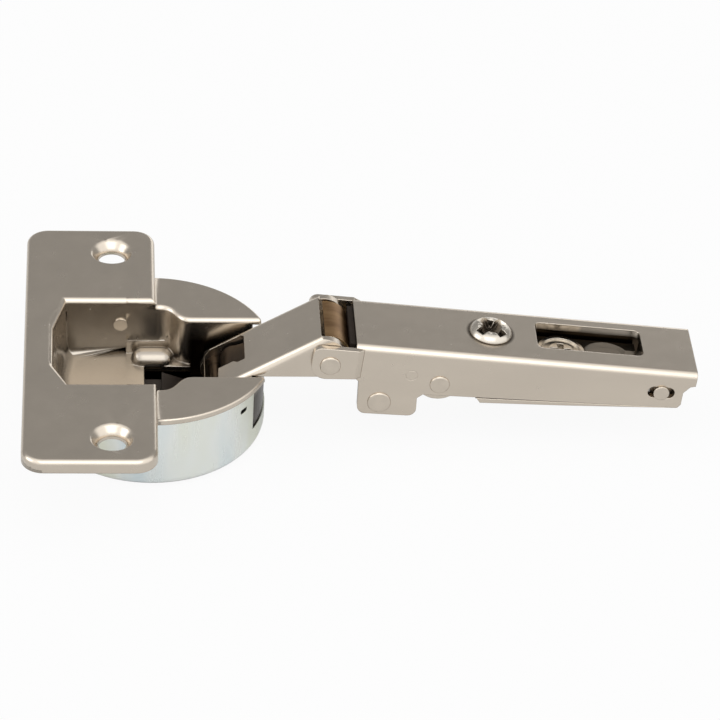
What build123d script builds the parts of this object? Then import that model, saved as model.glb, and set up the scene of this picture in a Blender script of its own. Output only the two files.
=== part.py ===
"""Soft-close concealed cabinet hinge, in millimetres, posed with the door fully open.

Origin: cup axis on the door face. +X runs along the hinge arm, +Y along the flange,
+Z out of the mouth of the cup.
"""

import os
from math import cos, hypot, radians, sin

from build123d import *

# Mounting flange and cover ring
FLANGE_LEFT = -19.3
FLANGE_RIGHT = 0.7
FLANGE_LENGTH = 60.4
FLANGE_TOP = 2.06
FLANGE_CORNER_R = 3.3
FLANGE_EDGE_R = 0.8
SCREW_X = -6.0
SCREW_SPACING = 48.0
SCREW_HOLE_R = 2.07
SCREW_SINK_R = 3.45
RING_R = 18.6
RING_TOP = 0.9
RIM_EDGE_R = 0.3
TUB_TOP = 0.6
SEAT_RELIEF = 0.02
SEAT_RELIEF_R = 17.6

# Drawn pocket for the folded arm, and the slot for the links
SHEET = 0.9
POCKET_HALF = 10.7
POCKET_LEFT = -15.2
POCKET_FLOOR = -7.5
POCKET_CORNER_R = 6.5
POCKET_DRAFT = 0.75
POCKET_LEFT_DRAFT = 2.2
FLOOR_EDGE_R = 1.3
FLOOR_END_X = -1.0
FLOOR_GAP_HALF = 6.45
SHOULDER_START_X = 1.2
SLOT_START_X = 6.2
SLOT_HALF = 7.2
SLOT_RIM_R = 0.75
CHEEK_BOTTOM = -9.6
CHEEK_END_X = 15.2
CHEEK_GAP = 0.1
BUMP_START_X = -3.7
BUMP_END_X = 2.5
BUMP_Y = 9.0
BUMP_Z = -7.1
BUMP_R = 2.2

# Cup can and the apron that closes its front
CAN_R = 17.45
CAN_WALL = 0.8
CAN_DEPTH = 12.5
CAN_BOTTOM_R = 1.6
APRON_R = 17.25
APRON_THICK = 0.8
APRON_HALF = 8.1
APRON_BOTTOM = -8.3
APRON_TOP = -1.3
APRON_NOTCH_LOW_Y = -0.9
APRON_NOTCH_HIGH_Y = 4.8
APRON_NOTCH_Z = -5.4
CRIMP_ANGLES = (-24.2, -37.5)
CRIMP_Z = -3.2

# Linkage pivots in the XZ plane, at rest
CUP_OUTER = (10.0, -6.8)
CUP_INNER = (12.75, -4.0)
ARM_OUTER = (26.8, 2.7)
CUP_PIN_R = 1.1
CUP_PIN_HALF = 8.1
ARM_PIN_R = 1.25
ARM_PIN_HEAD_R = 1.58
INNER_ARM_PIN_R = 0.9
PIN_CHAMFER = 0.15
RUNNING_GAP = 0.05
FLAT_GAP = 0.03

# Arm: a folded channel, tilted down from its front corner
ARM_FRONT = (30.8, 5.8)
ARM_TILT = -5.6
ARM_LENGTH = 52.6
ARM_HALF = 6.5
ARM_SHEET = 1.2
ARM_BEND_R = 1.15
ARM_REAR_DEPTH = 6.37
ARM_MID_DEPTH = 7.7
TAB_START = 1.1
TAB_END = 10.6
TAB_DEPTH = 12.2
TAB_CORNER_R = 1.3
EAR_INNER = 6.2
EAR_OUTER = 7.15
EAR_START = -6.5
EAR_END = 0.4
EAR_TOP = -0.45
EAR_BOTTOM = -6.2
EAR_LOW_CORNER_R = 2.3
EAR_HIGH_CORNER_R = 1.3
WINDOW_START = 28.1
WINDOW_END = 44.6
WINDOW_LOW_Y = -2.6
WINDOW_HIGH_Y = 4.0
WINDOW_CORNER_R = 1.0
LUG_THICK = 0.8
LUG_DEPTH = 4.4
LUG_HALF = 2.2

# What the arm carries, given along (u) and above (v) its web
MIDDLE_Y = 0.5
INNER_ARM_UV = (9.0, -4.5)
HOOK_UV = (4.75, -9.95)
HOOK_R = 1.1
HOOK_HEAD_R = 1.8
HOOK_INNER_Y = 4.9
ADJUSTER_UV = (13.45, -5.7)
ADJUSTER_R = 1.2
ADJUSTER_HEAD_R = 1.52
HEAD_HEIGHT = 0.28
LATCH_UV = (47.5, -3.75)
LATCH_PIN_R = 0.95
LATCH_HEAD_R = 1.2
LATCH_SLOT = 4.2
LATCH_HALF = 5.2
LATCH_SHEET = 0.8
LATCH_START = 46.0
LATCH_END = 50.6
LATCH_SPRING_V = -3.45

# Outer link: a folded channel that rises from the cup to the arm
OUTER_WEB_START = (9.0, -3.12)
OUTER_WEB_END = (25.4, 6.75)
OUTER_HALF = 6.1
OUTER_SHEET = 1.2
OUTER_BEND_R = 1.25
OUTER_FOOT_Z = -0.12
OUTER_NECK_R = 1.75
OUTER_EYE_R = 2.35
OUTER_EAR = (26.2, 3.6)
OUTER_EAR_R = 3.0
OUTER_PIVOT_R = 2.75
NOTCH_NEAR_Y = -0.9
NOTCH_FAR_Y = 4.85
NOTCH_LENGTH = 6.0
HOOK_POCKET_Y = -1.6
GROOVE_DEPTH = 0.5
GROOVE_LOW_Y = -0.6
GROOVE_HIGH_Y = 4.5
GROOVE_END = 12.3

# Inner link: a cranked bar with an eye in the cup and a slotted eye in the arm; it crosses
# the rim of the door's bore above the door's face
INNER_LOW_Y = -0.4
INNER_HIGH_Y = 4.3
INNER_CROSSING_X = 16.85
INNER_CROSSING_Z = -0.12
INNER_EYE_R = 2.05
INNER_SLOT_HALF = 1.5
INNER_SLOT_NEAR = 1.85
INNER_SLOT_FAR = 0.35
INNER_SLOT_SIDE = 0.2
INNER_SLOT_WALL = 0.6

# Leaf spring pack that wraps the outer pivot, and its saddle
LEAF_COUNT = 3
LEAF_THICK = 0.32
LEAF_PITCH = 0.36
LEAF_HALF = 4.6
LEAF_R = 3.55
LEAF_CENTRE = (26.5, 2.8)
LEAF_START_ANGLE = 98.0
LEAF_TURN_ANGLE = 12.3
LEAF_BACK_R = 1.5
LEAF_TAIL = 3.0
SADDLE_GAP = 0.06
SADDLE_HALF = 4.9
SADDLE_START = -0.9
SADDLE_END = 3.4

# Adjusting channel inside the arm, its depth cam and the side screw
CHANNEL_HALF = 5.2
CHANNEL_SHEET = 0.8
CHANNEL_TOP = -2.95
CHANNEL_START = 10.3
CHANNEL_WEB_START = 14.6
CHANNEL_END = 44.4
CHANNEL_EAR_R = 3.65
KEYHOLE_U = 39.6
KEYHOLE_R = 3.8
KEYHOLE_SLOT = 4.2
CAM_U = 32.4
CAM_RIM_R = 3.7
CAM_RIM_HEIGHT = 0.6
CAM_BOSS_R = 2.0
CAM_LOBE_R = 2.9
CAM_THROW = 0.7
CAM_LOBE_HEIGHT = 1.1
SIDE_SCREW_U = 20.95
SIDE_SCREW_Y = 0.3
SIDE_HEAD_R = 3.33
SIDE_HEAD_HEIGHT = 1.1
SIDE_FLAT_R = 1.5
SIDE_DOME_POINT = (2.86, 0.79)
SIDE_FOOT_HEIGHT = 0.7
SIDE_SHANK_R = 2.45
SIDE_NECK_R = 1.5
SIDE_NECK_PLAY = 0.25
DRIVE_LENGTH = 4.2
DRIVE_WIDTH = 0.95
DRIVE_DEPTH = 1.3
CAM_DRIVE = 3.2

# Damper below the pocket floor: housing, cylinder, piston and a ramped slider
HOUSING_LEFT = -15.1
HOUSING_RIGHT = -7.6
HOUSING_HALF = 6.0
HOUSING_TOP = -8.45
HOUSING_BOTTOM = -11.7
HOUSING_CORNER_R = 1.0
CHEEK_INNER = 4.6
DAMPER_Z = -10.05
CYLINDER_R = 1.4
CYLINDER_LEFT = -14.4
CYLINDER_RIGHT = -8.0
BORE_R = 1.0
BORE_END_WALL = 0.5
ROD_R = 0.55
ROD_LEFT = -11.0
PISTON_R = 0.95
PISTON_LENGTH = 1.0
SLIDER_LEFT = -5.0
SLIDER_HALF = 4.4
SLIDER_STEP_X = 1.7
SLIDER_TIP_X = 5.0
SLIDER_STEP_TOP = -7.1
SLIDER_TIP_TOP = -8.3
SPRING_COIL_R = 1.0
SPRING_WIRE_R = 0.14
SPRING_TURNS = 5

# Crimps in the can, and small joints between sheets
CRIMP_WIDTH = 1.6
CRIMP_HEIGHT = 0.8
CRIMP_CORNER_R = 0.3
APRON_GAP = 0.15
TINY = 0.01
ACROSS = (90, 0, 0)

os.makedirs("parts", exist_ok=True)


def arm_point(u, v):
    """A point of the XZ plane from its place along (u) and above (v) the arm's web."""
    tilt = radians(ARM_TILT)
    return (
        ARM_FRONT[0] + u * cos(tilt) - v * sin(tilt),
        ARM_FRONT[1] + u * sin(tilt) + v * cos(tilt),
    )


def finish(builder, name):
    """Label a finished piece and write it to its own STEP file."""
    builder.part.label = name
    export_step(builder.part, f"parts/{name}.step")


def cross_plane(point):
    """The XZ plane through the hinge's middle, with its origin on a pivot."""
    return Plane(origin=(point[0], 0, point[1]), x_dir=(1, 0, 0), z_dir=(0, -1, 0))


def frame_along(start, end):
    """Unit vectors along and above the line from one point of the XZ plane to another."""
    run, rise = end[0] - start[0], end[1] - start[1]
    length = hypot(run, rise)
    return (run / length, 0, rise / length), (-rise / length, 0, run / length)


def channel_section(half, sheet, bend, depth):
    """Section of a folded channel: its web's outer face on the X axis, its walls going down."""
    with BuildSketch() as section:
        with BuildLine():
            Polyline(
                (-half, -depth),
                (-half, 0),
                (half, 0),
                (half, -depth),
                (half - sheet, -depth),
                (half - sheet, -sheet),
                (sheet - half, -sheet),
                (sheet - half, -depth),
                close=True,
            )
        make_face()
        fillet(section.vertices().filter_by(lambda v: abs(v.Y) < TINY), bend)
        inside = section.vertices().filter_by(lambda v: abs(v.X) < half - sheet / 2)
        fillet(inside.filter_by(lambda v: abs(v.Y + sheet) < TINY), bend / 3)
    return section.sketch


ALONG_ARM = (cos(radians(ARM_TILT)), 0, sin(radians(ARM_TILT)))
ABOVE_ARM = (-sin(radians(ARM_TILT)), 0, cos(radians(ARM_TILT)))
ARM_ORIGIN = (ARM_FRONT[0], 0, ARM_FRONT[1])
ARM_SIDE = Plane(origin=ARM_ORIGIN, x_dir=ALONG_ARM, z_dir=(0, -1, 0))
ARM_WEB = Plane(origin=ARM_ORIGIN, x_dir=ALONG_ARM, z_dir=ABOVE_ARM)
ARM_SECTION = Plane(origin=ARM_ORIGIN, x_dir=(0, 1, 0), z_dir=ALONG_ARM)
ARM_INNER = arm_point(*INNER_ARM_UV)
ALONG_WEB, ABOVE_WEB = frame_along(OUTER_WEB_START, OUTER_WEB_END)
WEB_ORIGIN = (OUTER_WEB_START[0], 0, OUTER_WEB_START[1])
WEB_LENGTH = hypot(OUTER_WEB_END[0] - OUTER_WEB_START[0], OUTER_WEB_END[1] - OUTER_WEB_START[1])
OUTER_TOP = Plane(origin=WEB_ORIGIN, x_dir=ALONG_WEB, z_dir=ABOVE_WEB)
OUTER_SECTION = Plane(origin=WEB_ORIGIN, x_dir=(0, 1, 0), z_dir=ALONG_WEB)
ALONG_INNER, ABOVE_INNER = frame_along(CUP_INNER, ARM_INNER)
INNER_LENGTH = hypot(ARM_INNER[0] - CUP_INNER[0], ARM_INNER[1] - CUP_INNER[1])
INNER_ORIGIN = (CUP_INNER[0], 0, CUP_INNER[1])
INNER_SIDE = Plane(origin=INNER_ORIGIN, x_dir=ALONG_INNER, z_dir=(0, -1, 0))
FLANGE_WIDTH = FLANGE_RIGHT - FLANGE_LEFT
FLANGE_MID_X = (FLANGE_LEFT + FLANGE_RIGHT) / 2


def pocket_outline(grow, draft, left_draft):
    """Plan of the pocket: square at the right, with its shoulders run in to the slot."""
    half = POCKET_HALF + grow - draft
    left = POCKET_LEFT - grow + left_draft
    slot = SLOT_HALF + grow
    with BuildLine() as outline:
        for side in (1, -1):
            shoulder = Spline(
                (SHOULDER_START_X, side * half),
                (SLOT_START_X, side * slot),
                tangents=[(1, 0), (1, 0)],
            )
            Line((left, side * half), shoulder @ 0)
        Line((left, half), (left, -half))
        Line((SLOT_START_X, slot), (SLOT_START_X, -slot))
    return outline.line


def pocket_sketch(height, grow, draft, left_draft):
    """One level of the pocket, for lofting."""
    with BuildSketch(Plane.XY.offset(height)) as level:
        with BuildLine():
            add(pocket_outline(grow, draft, left_draft))
        make_face()
        fillet(level.vertices().sort_by(Axis.X)[:2], POCKET_CORNER_R + 2 * grow)
    return level.sketch


# Cup cover: flange, ring, drawn pocket, slot cheeks and front apron in one pressing
with BuildPart() as cup_cover:
    with BuildSketch():
        with Locations((FLANGE_MID_X, 0)):
            RectangleRounded(FLANGE_WIDTH, FLANGE_LENGTH, FLANGE_CORNER_R)
    extrude(amount=FLANGE_TOP)
    with BuildSketch():
        Circle(RING_R)
    extrude(amount=RING_TOP)
    with BuildSketch():
        Circle(SEAT_RELIEF_R)
    extrude(amount=SEAT_RELIEF, mode=Mode.SUBTRACT)
    add(pocket_sketch(TUB_TOP, SHEET, 0, 0))
    add(pocket_sketch(POCKET_FLOOR - SHEET, SHEET, POCKET_DRAFT, POCKET_LEFT_DRAFT))
    loft()
    with BuildSketch(Plane.XY.offset(CHEEK_BOTTOM)):
        with Locations(((SLOT_START_X + CHEEK_END_X) / 2, 0)):
            Rectangle(CHEEK_END_X - SLOT_START_X, 2 * (SLOT_HALF + SHEET))
        Circle(CAN_R - CAN_WALL - CHEEK_GAP, mode=Mode.INTERSECT)
    extrude(amount=TUB_TOP - CHEEK_BOTTOM)
    with BuildSketch(Plane.XY.offset(APRON_BOTTOM)):
        Circle(APRON_R)
        Circle(APRON_R - APRON_THICK, mode=Mode.SUBTRACT)
        with Locations((APRON_R, 0)):
            Rectangle(APRON_R, 2 * APRON_HALF, mode=Mode.INTERSECT)
    extrude(amount=TUB_TOP - APRON_BOTTOM)
    add(pocket_sketch(FLANGE_TOP, 0, 0, 0))
    add(pocket_sketch(POCKET_FLOOR, 0, POCKET_DRAFT, POCKET_LEFT_DRAFT))
    loft(mode=Mode.SUBTRACT)
    with BuildSketch(Plane.XY.offset(FLANGE_TOP)):
        with Locations(((SLOT_START_X + RING_R) / 2, 0)):
            Rectangle(RING_R - SLOT_START_X + TINY, 2 * SLOT_HALF)
    extrude(amount=APRON_TOP - FLANGE_TOP, mode=Mode.SUBTRACT)
    with BuildSketch(Plane.XY.offset(APRON_TOP)):
        with Locations(((FLOOR_END_X + CHEEK_END_X) / 2, 0)):
            Rectangle(CHEEK_END_X - FLOOR_END_X, 2 * FLOOR_GAP_HALF)
        with Locations(((SLOT_START_X + CHEEK_END_X) / 2, 0)):
            Rectangle(CHEEK_END_X - SLOT_START_X + TINY, 2 * SLOT_HALF)
    extrude(amount=-CAN_DEPTH, mode=Mode.SUBTRACT)
    with BuildSketch(Plane.YZ.offset(CHEEK_END_X)):
        with Locations(((APRON_NOTCH_LOW_Y + APRON_NOTCH_HIGH_Y) / 2, APRON_TOP)):
            Rectangle(APRON_NOTCH_HIGH_Y - APRON_NOTCH_LOW_Y, 2 * (APRON_TOP - APRON_NOTCH_Z))
    extrude(amount=RING_R, mode=Mode.SUBTRACT)
    with BuildSketch(Plane.YZ.offset(BUMP_START_X)):
        with Locations((BUMP_Y, BUMP_Z)):
            Circle(BUMP_R)
        with Locations((BUMP_Y, POCKET_FLOOR - SHEET)):
            Rectangle(3 * BUMP_R, 2 * BUMP_R, align=(Align.CENTER, Align.MIN), mode=Mode.INTERSECT)
    extrude(amount=BUMP_END_X - BUMP_START_X)
    flange_face = cup_cover.faces().filter_by(Plane.XY).sort_by(Axis.Z)[-1]
    fillet(flange_face.edges(), FLANGE_EDGE_R)
    ring_edges = cup_cover.edges().filter_by(lambda e: abs(e.bounding_box().min.Z - RING_TOP) < TINY)
    slot_edges = ring_edges.filter_by(lambda e: e.center().X > SHOULDER_START_X - 0.4)
    slot_edges = slot_edges.filter_by(lambda e: e.geom_type != GeomType.CIRCLE)
    fillet(slot_edges, SLOT_RIM_R)
    rim_edges = cup_cover.edges().filter_by(lambda e: abs(e.bounding_box().min.Z - RING_TOP) < TINY)
    rim_edges = rim_edges.filter_by(lambda e: e.geom_type == GeomType.CIRCLE)
    fillet(rim_edges.filter_by(lambda e: abs(e.radius - RING_R) < TINY), RIM_EDGE_R)
    floor_edges = cup_cover.edges().filter_by(lambda e: abs(e.bounding_box().max.Z - POCKET_FLOOR) < TINY)
    floor_edges = floor_edges.filter_by(lambda e: e.bounding_box().min.Z > POCKET_FLOOR - TINY)
    fillet(floor_edges.filter_by(lambda e: e.center().X < BUMP_START_X), FLOOR_EDGE_R)
    with Locations(Plane.XY.offset(FLANGE_TOP)):
        with Locations((SCREW_X, SCREW_SPACING / 2), (SCREW_X, -SCREW_SPACING / 2)):
            CounterSinkHole(SCREW_HOLE_R, SCREW_SINK_R, counter_sink_angle=90)
    for pivot in (CUP_OUTER, CUP_INNER):
        with Locations((pivot[0], 0, pivot[1])):
            Cylinder(CUP_PIN_R, 3 * SLOT_HALF, rotation=ACROSS, mode=Mode.SUBTRACT)
finish(cup_cover, "cup_cover")

# Can: a deep-drawn cup with a window for the apron and two crimps
with BuildPart() as cup_can:
    with BuildSketch():
        Circle(CAN_R)
    extrude(amount=-CAN_DEPTH)
    fillet(cup_can.faces().sort_by(Axis.Z)[0].edges(), CAN_BOTTOM_R)
    with BuildSketch():
        Circle(CAN_R - CAN_WALL)
    extrude(amount=CAN_WALL - CAN_DEPTH, mode=Mode.SUBTRACT)
    inner_rims = cup_can.edges().filter_by(lambda e: e.geom_type == GeomType.CIRCLE)
    inner_rims = inner_rims.filter_by(lambda e: abs(e.radius - CAN_R + CAN_WALL) < TINY)
    fillet(inner_rims.sort_by(Axis.Z)[0], CAN_BOTTOM_R - CAN_WALL)
    with BuildSketch(Plane.XY.offset(APRON_BOTTOM - APRON_GAP)):
        with Locations((CAN_R, 0)):
            Rectangle(CAN_R, 2 * (APRON_HALF + APRON_GAP))
    extrude(amount=CAN_DEPTH, mode=Mode.SUBTRACT)
    for angle in CRIMP_ANGLES:
        outward = (cos(radians(angle)), sin(radians(angle)), 0)
        crimp = Plane(origin=(0, 0, CRIMP_Z), x_dir=(0, 0, 1), z_dir=outward)
        with BuildSketch(crimp.offset(CAN_R)):
            RectangleRounded(CRIMP_HEIGHT, CRIMP_WIDTH, CRIMP_CORNER_R)
        extrude(amount=-2 * CAN_WALL, mode=Mode.SUBTRACT)
finish(cup_can, "cup_can")

# The two pins riveted through the cheeks of the cup
with BuildPart() as outer_link_cup_pin:
    with Locations((CUP_OUTER[0], 0, CUP_OUTER[1])):
        Cylinder(CUP_PIN_R, 2 * CUP_PIN_HALF, rotation=ACROSS)
    chamfer(outer_link_cup_pin.edges().filter_by(GeomType.CIRCLE), PIN_CHAMFER)
finish(outer_link_cup_pin, "outer_link_cup_pin")

with BuildPart() as inner_link_cup_pin:
    with Locations((CUP_INNER[0], 0, CUP_INNER[1])):
        Cylinder(CUP_PIN_R, 2 * CUP_PIN_HALF, rotation=ACROSS)
    chamfer(inner_link_cup_pin.edges().filter_by(GeomType.CIRCLE), PIN_CHAMFER)
finish(inner_link_cup_pin, "inner_link_cup_pin")

# Outer link: a folded channel whose side plates reach round the inner pin as goose-necks
with BuildPart() as outer_link:
    with BuildSketch(OUTER_SECTION.offset(-WEB_LENGTH)):
        add(channel_section(OUTER_HALF, OUTER_SHEET, OUTER_BEND_R, WEB_LENGTH))
    extrude(amount=3 * WEB_LENGTH)
    with BuildSketch(Plane.XZ):
        with BuildLine():
            over_pin = CenterArc(CUP_INNER, OUTER_NECK_R, 60, 130)
            Polyline(
                over_pin @ 1,
                (CUP_OUTER[0] + 1.2, CUP_OUTER[1] + 1.6),
                (CUP_OUTER[0] - 1.6, CUP_OUTER[1] - 0.8),
                (CUP_OUTER[0] - 2.1, CUP_OUTER[1] + 0.8),
                (OUTER_WEB_START[0] - 0.7, OUTER_WEB_START[1] - 1.2),
                OUTER_WEB_START,
                OUTER_WEB_END,
                (OUTER_EAR[0] + 1.2, OUTER_EAR[1] + 1.5),
                (ARM_OUTER[0] + 1.5, ARM_OUTER[1]),
                (ARM_OUTER[0], ARM_OUTER[1] - OUTER_PIVOT_R),
                (ARM_OUTER[0] - 1.4, OUTER_FOOT_Z),
                (CUP_INNER[0] + 2.4, OUTER_FOOT_Z),
                over_pin @ 0,
            )
        make_face()
        with Locations(CUP_OUTER):
            Circle(OUTER_EYE_R)
        with Locations(OUTER_EAR):
            Circle(OUTER_EAR_R)
        with Locations(ARM_OUTER):
            Circle(OUTER_PIVOT_R)
    extrude(amount=2 * OUTER_HALF, both=True, mode=Mode.INTERSECT)
    for pivot, radius in ((CUP_OUTER, CUP_PIN_R), (ARM_OUTER, ARM_PIN_R)):
        with Locations((pivot[0], 0, pivot[1])):
            Cylinder(radius + RUNNING_GAP, 3 * OUTER_HALF, rotation=ACROSS, mode=Mode.SUBTRACT)
    with BuildSketch(OUTER_TOP):
        with BuildLine():
            Polyline(
                (-1.5, OUTER_SHEET - OUTER_HALF),
                (1.2, OUTER_SHEET - OUTER_HALF),
                (1.4, NOTCH_NEAR_Y),
                (NOTCH_LENGTH - 2.0, NOTCH_NEAR_Y),
                (NOTCH_LENGTH - 1.3, HOOK_POCKET_Y),
                (NOTCH_LENGTH, HOOK_POCKET_Y),
                (NOTCH_LENGTH, NOTCH_FAR_Y - 0.6),
                (NOTCH_LENGTH - 0.6, NOTCH_FAR_Y),
                (-1.5, NOTCH_FAR_Y),
                close=True,
            )
        make_face()
    extrude(amount=-3 * OUTER_SHEET, mode=Mode.SUBTRACT)
    with BuildSketch(OUTER_TOP.offset(GROOVE_DEPTH - OUTER_SHEET)):
        with Locations((NOTCH_LENGTH - 0.5, (GROOVE_LOW_Y + GROOVE_HIGH_Y) / 2)):
            Rectangle(
                GROOVE_END - NOTCH_LENGTH + 0.5,
                GROOVE_HIGH_Y - GROOVE_LOW_Y,
                align=(Align.MIN, Align.CENTER),
            )
    extrude(amount=-OUTER_SHEET, mode=Mode.SUBTRACT)
    with BuildSketch():
        with Locations((OUTER_WEB_END[0], 0)):
            Rectangle(4 * OUTER_EAR_R, 2 * SADDLE_HALF, align=(Align.MIN, Align.CENTER))
    extrude(amount=2 * OUTER_WEB_END[1], mode=Mode.SUBTRACT)
finish(outer_link, "outer_link")

# Inner link: a bar with an eye on the cup's pin and a slotted eye in the arm
with BuildPart() as inner_link:
    slot_middle = (INNER_LENGTH - (INNER_SLOT_NEAR + INNER_SLOT_FAR) / 2, INNER_SLOT_SIDE)
    slot_run = INNER_SLOT_NEAR - INNER_SLOT_FAR
    with BuildSketch(Plane.XZ.offset(-INNER_HIGH_Y)):
        with BuildLine():
            Polyline(
                (CUP_INNER[0] - 0.7, CUP_INNER[1] + 1.85),
                (CUP_INNER[0] + 1.3, CUP_INNER[1] + 2.6),
                (15.2, -0.30),
                (17.0, 0.78),
                (18.2, 1.50),
                (19.3, 1.60),
                (22.0, 1.20),
                (24.8, -0.30),
                (28.5, -0.30),
                (ARM_INNER[0] - 1.6, ARM_INNER[1] + 0.9),
                (ARM_INNER[0] - 1.6, ARM_INNER[1] - 0.9),
                (28.5, -2.0),
                (24.0, -2.0),
                (21.5, INNER_CROSSING_Z),
                (INNER_CROSSING_X, INNER_CROSSING_Z),
                (INNER_CROSSING_X, CUP_INNER[1] + 1.1),
                (CUP_INNER[0] + 1.2, CUP_INNER[1] - 1.6),
                close=True,
            )
        make_face()
        with Locations(CUP_INNER):
            Circle(INNER_EYE_R)
    extrude(amount=INNER_HIGH_Y - INNER_LOW_Y)
    with BuildSketch(INNER_SIDE.offset(-INNER_HIGH_Y)):
        with Locations(slot_middle):
            SlotCenterToCenter(slot_run, 2 * (INNER_SLOT_HALF + INNER_SLOT_WALL))
    extrude(amount=INNER_HIGH_Y - INNER_LOW_Y)
    with BuildSketch(INNER_SIDE.offset(-2 * INNER_HIGH_Y)):
        Circle(CUP_PIN_R + RUNNING_GAP)
        with Locations(slot_middle):
            SlotCenterToCenter(slot_run, 2 * INNER_SLOT_HALF)
    extrude(amount=4 * INNER_HIGH_Y, mode=Mode.SUBTRACT)
finish(inner_link, "inner_link")

# Arm: a folded channel with hook tabs, jogged ears, a window and slots for the latch
with BuildPart() as arm_channel:
    with BuildSketch(ARM_SECTION):
        add(channel_section(ARM_HALF, ARM_SHEET, ARM_BEND_R, 2 * TAB_DEPTH))
    extrude(amount=ARM_LENGTH)
    with BuildSketch(ARM_SIDE) as arm_outline:
        with BuildLine():
            Polyline(
                (0, 0),
                (ARM_LENGTH, 0),
                (ARM_LENGTH, -2.1),
                (ARM_LENGTH - 0.8, -2.33),
                (ARM_LENGTH - 1.7, -3.5),
                (ARM_LENGTH - 1.65, -5.7),
                (ARM_LENGTH - 2.1, -ARM_REAR_DEPTH),
                (TAB_END + 4.8, -ARM_MID_DEPTH),
                (TAB_END + 0.6, -ARM_MID_DEPTH - 0.15),
                (TAB_END - 0.2, -ARM_MID_DEPTH - 0.9),
                (TAB_END + 0.1, -TAB_DEPTH + 0.2),
                (TAB_START + 0.55, -TAB_DEPTH - 0.1),
                (TAB_START, EAR_BOTTOM - 0.2),
                (0, EAR_BOTTOM + 0.6),
                close=True,
            )
        make_face()
        fillet(arm_outline.vertices().sort_by(Axis.Y)[:2], TAB_CORNER_R)
    extrude(amount=2 * ARM_HALF, both=True, mode=Mode.INTERSECT)
    for side in (1, -1):
        with BuildSketch(ARM_SIDE.offset(side * EAR_OUTER)) as ear:
            with BuildLine():
                Polyline(
                    (EAR_START, EAR_TOP),
                    (EAR_END, EAR_TOP),
                    (EAR_END, EAR_BOTTOM + 0.6),
                    (EAR_START, EAR_BOTTOM),
                    close=True,
                )
            make_face()
            fillet(ear.vertices().group_by(Axis.X)[0].sort_by(Axis.Y)[0], EAR_LOW_CORNER_R)
            fillet(ear.vertices().group_by(Axis.X)[0].sort_by(Axis.Y)[-1], EAR_HIGH_CORNER_R)
        extrude(amount=side * (EAR_INNER - EAR_OUTER))
    with Locations((ARM_OUTER[0], 0, ARM_OUTER[1])):
        Cylinder(ARM_PIN_R, 3 * ARM_HALF, rotation=ACROSS, mode=Mode.SUBTRACT)
    wall_holes = ((INNER_ARM_UV, INNER_ARM_PIN_R), (HOOK_UV, HOOK_R), (ADJUSTER_UV, ADJUSTER_R))
    for spot, radius in wall_holes:
        with Locations((arm_point(*spot)[0], 0, arm_point(*spot)[1])):
            Cylinder(radius, 3 * ARM_HALF, rotation=ACROSS, mode=Mode.SUBTRACT)
    with BuildSketch(ARM_SIDE.offset(-2 * ARM_HALF)):
        with Locations(LATCH_UV):
            SlotOverall(LATCH_SLOT, 2 * (LATCH_PIN_R + RUNNING_GAP))
    extrude(amount=4 * ARM_HALF, mode=Mode.SUBTRACT)
    with BuildSketch(ARM_WEB):
        with Locations(((WINDOW_START + WINDOW_END) / 2, (WINDOW_LOW_Y + WINDOW_HIGH_Y) / 2)):
            RectangleRounded(WINDOW_END - WINDOW_START, WINDOW_HIGH_Y - WINDOW_LOW_Y, WINDOW_CORNER_R)
        with Locations((SIDE_SCREW_U, SIDE_SCREW_Y)):
            Circle(SIDE_SHANK_R + RUNNING_GAP)
    extrude(amount=-2 * ARM_SHEET, mode=Mode.SUBTRACT)
    with BuildSketch(ARM_WEB.offset(-ARM_SHEET / 2)):
        with Locations((WINDOW_END, MIDDLE_Y)):
            Rectangle(LUG_THICK, 2 * LUG_HALF, align=(Align.MIN, Align.CENTER))
    extrude(amount=ARM_SHEET / 2 - LUG_DEPTH)
finish(arm_channel, "arm_channel")

# Pins of the arm: one through both ears, one flush through both side walls
with BuildPart() as outer_link_arm_pin:
    with Locations((ARM_OUTER[0], 0, ARM_OUTER[1])):
        Cylinder(ARM_PIN_R, 2 * EAR_OUTER, rotation=ACROSS)
    for side in (1, -1):
        with BuildSketch(cross_plane(ARM_OUTER).offset(side * EAR_OUTER)):
            Circle(ARM_PIN_HEAD_R)
        extrude(amount=side * HEAD_HEIGHT)
    head_rims = outer_link_arm_pin.edges().filter_by(GeomType.CIRCLE).sort_by(Axis.Y)
    chamfer([head_rims[0], head_rims[-1]], PIN_CHAMFER)
finish(outer_link_arm_pin, "outer_link_arm_pin")

with BuildPart() as inner_link_arm_pin:
    with Locations((ARM_INNER[0], 0, ARM_INNER[1])):
        Cylinder(INNER_ARM_PIN_R, 2 * ARM_HALF, rotation=ACROSS)
finish(inner_link_arm_pin, "inner_link_arm_pin")


def arm_stud(spot, radius, head_radius, inner_y, side):
    """A short stud through one side wall of the arm, headed on the outside."""
    with BuildPart() as stud:
        with BuildSketch(ARM_SIDE.offset(side * inner_y)):
            with Locations(spot):
                Circle(radius)
        extrude(amount=side * (ARM_HALF + TINY - inner_y))
        with BuildSketch(ARM_SIDE.offset(side * ARM_HALF)):
            with Locations(spot):
                Circle(head_radius)
        extrude(amount=side * HEAD_HEIGHT)
        rims = stud.edges().filter_by(GeomType.CIRCLE).sort_by(Axis.Y)
        chamfer(rims[-1] if side < 0 else rims[0], PIN_CHAMFER)
    return stud


# Studs that hook into the base plate, and rivets that the adjusting channel rocks on
RIVET_INNER_Y = CHANNEL_HALF - CHANNEL_SHEET
for side, name in ((1, "near"), (-1, "far")):
    front_hook_stud = arm_stud(HOOK_UV, HOOK_R, HOOK_HEAD_R, HOOK_INNER_Y, side)
    finish(front_hook_stud, f"front_hook_stud_{name}")
    adjuster_rivet = arm_stud(ADJUSTER_UV, ADJUSTER_R, ADJUSTER_HEAD_R, RIVET_INNER_Y, side)
    finish(adjuster_rivet, f"adjuster_rivet_{name}")


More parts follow.
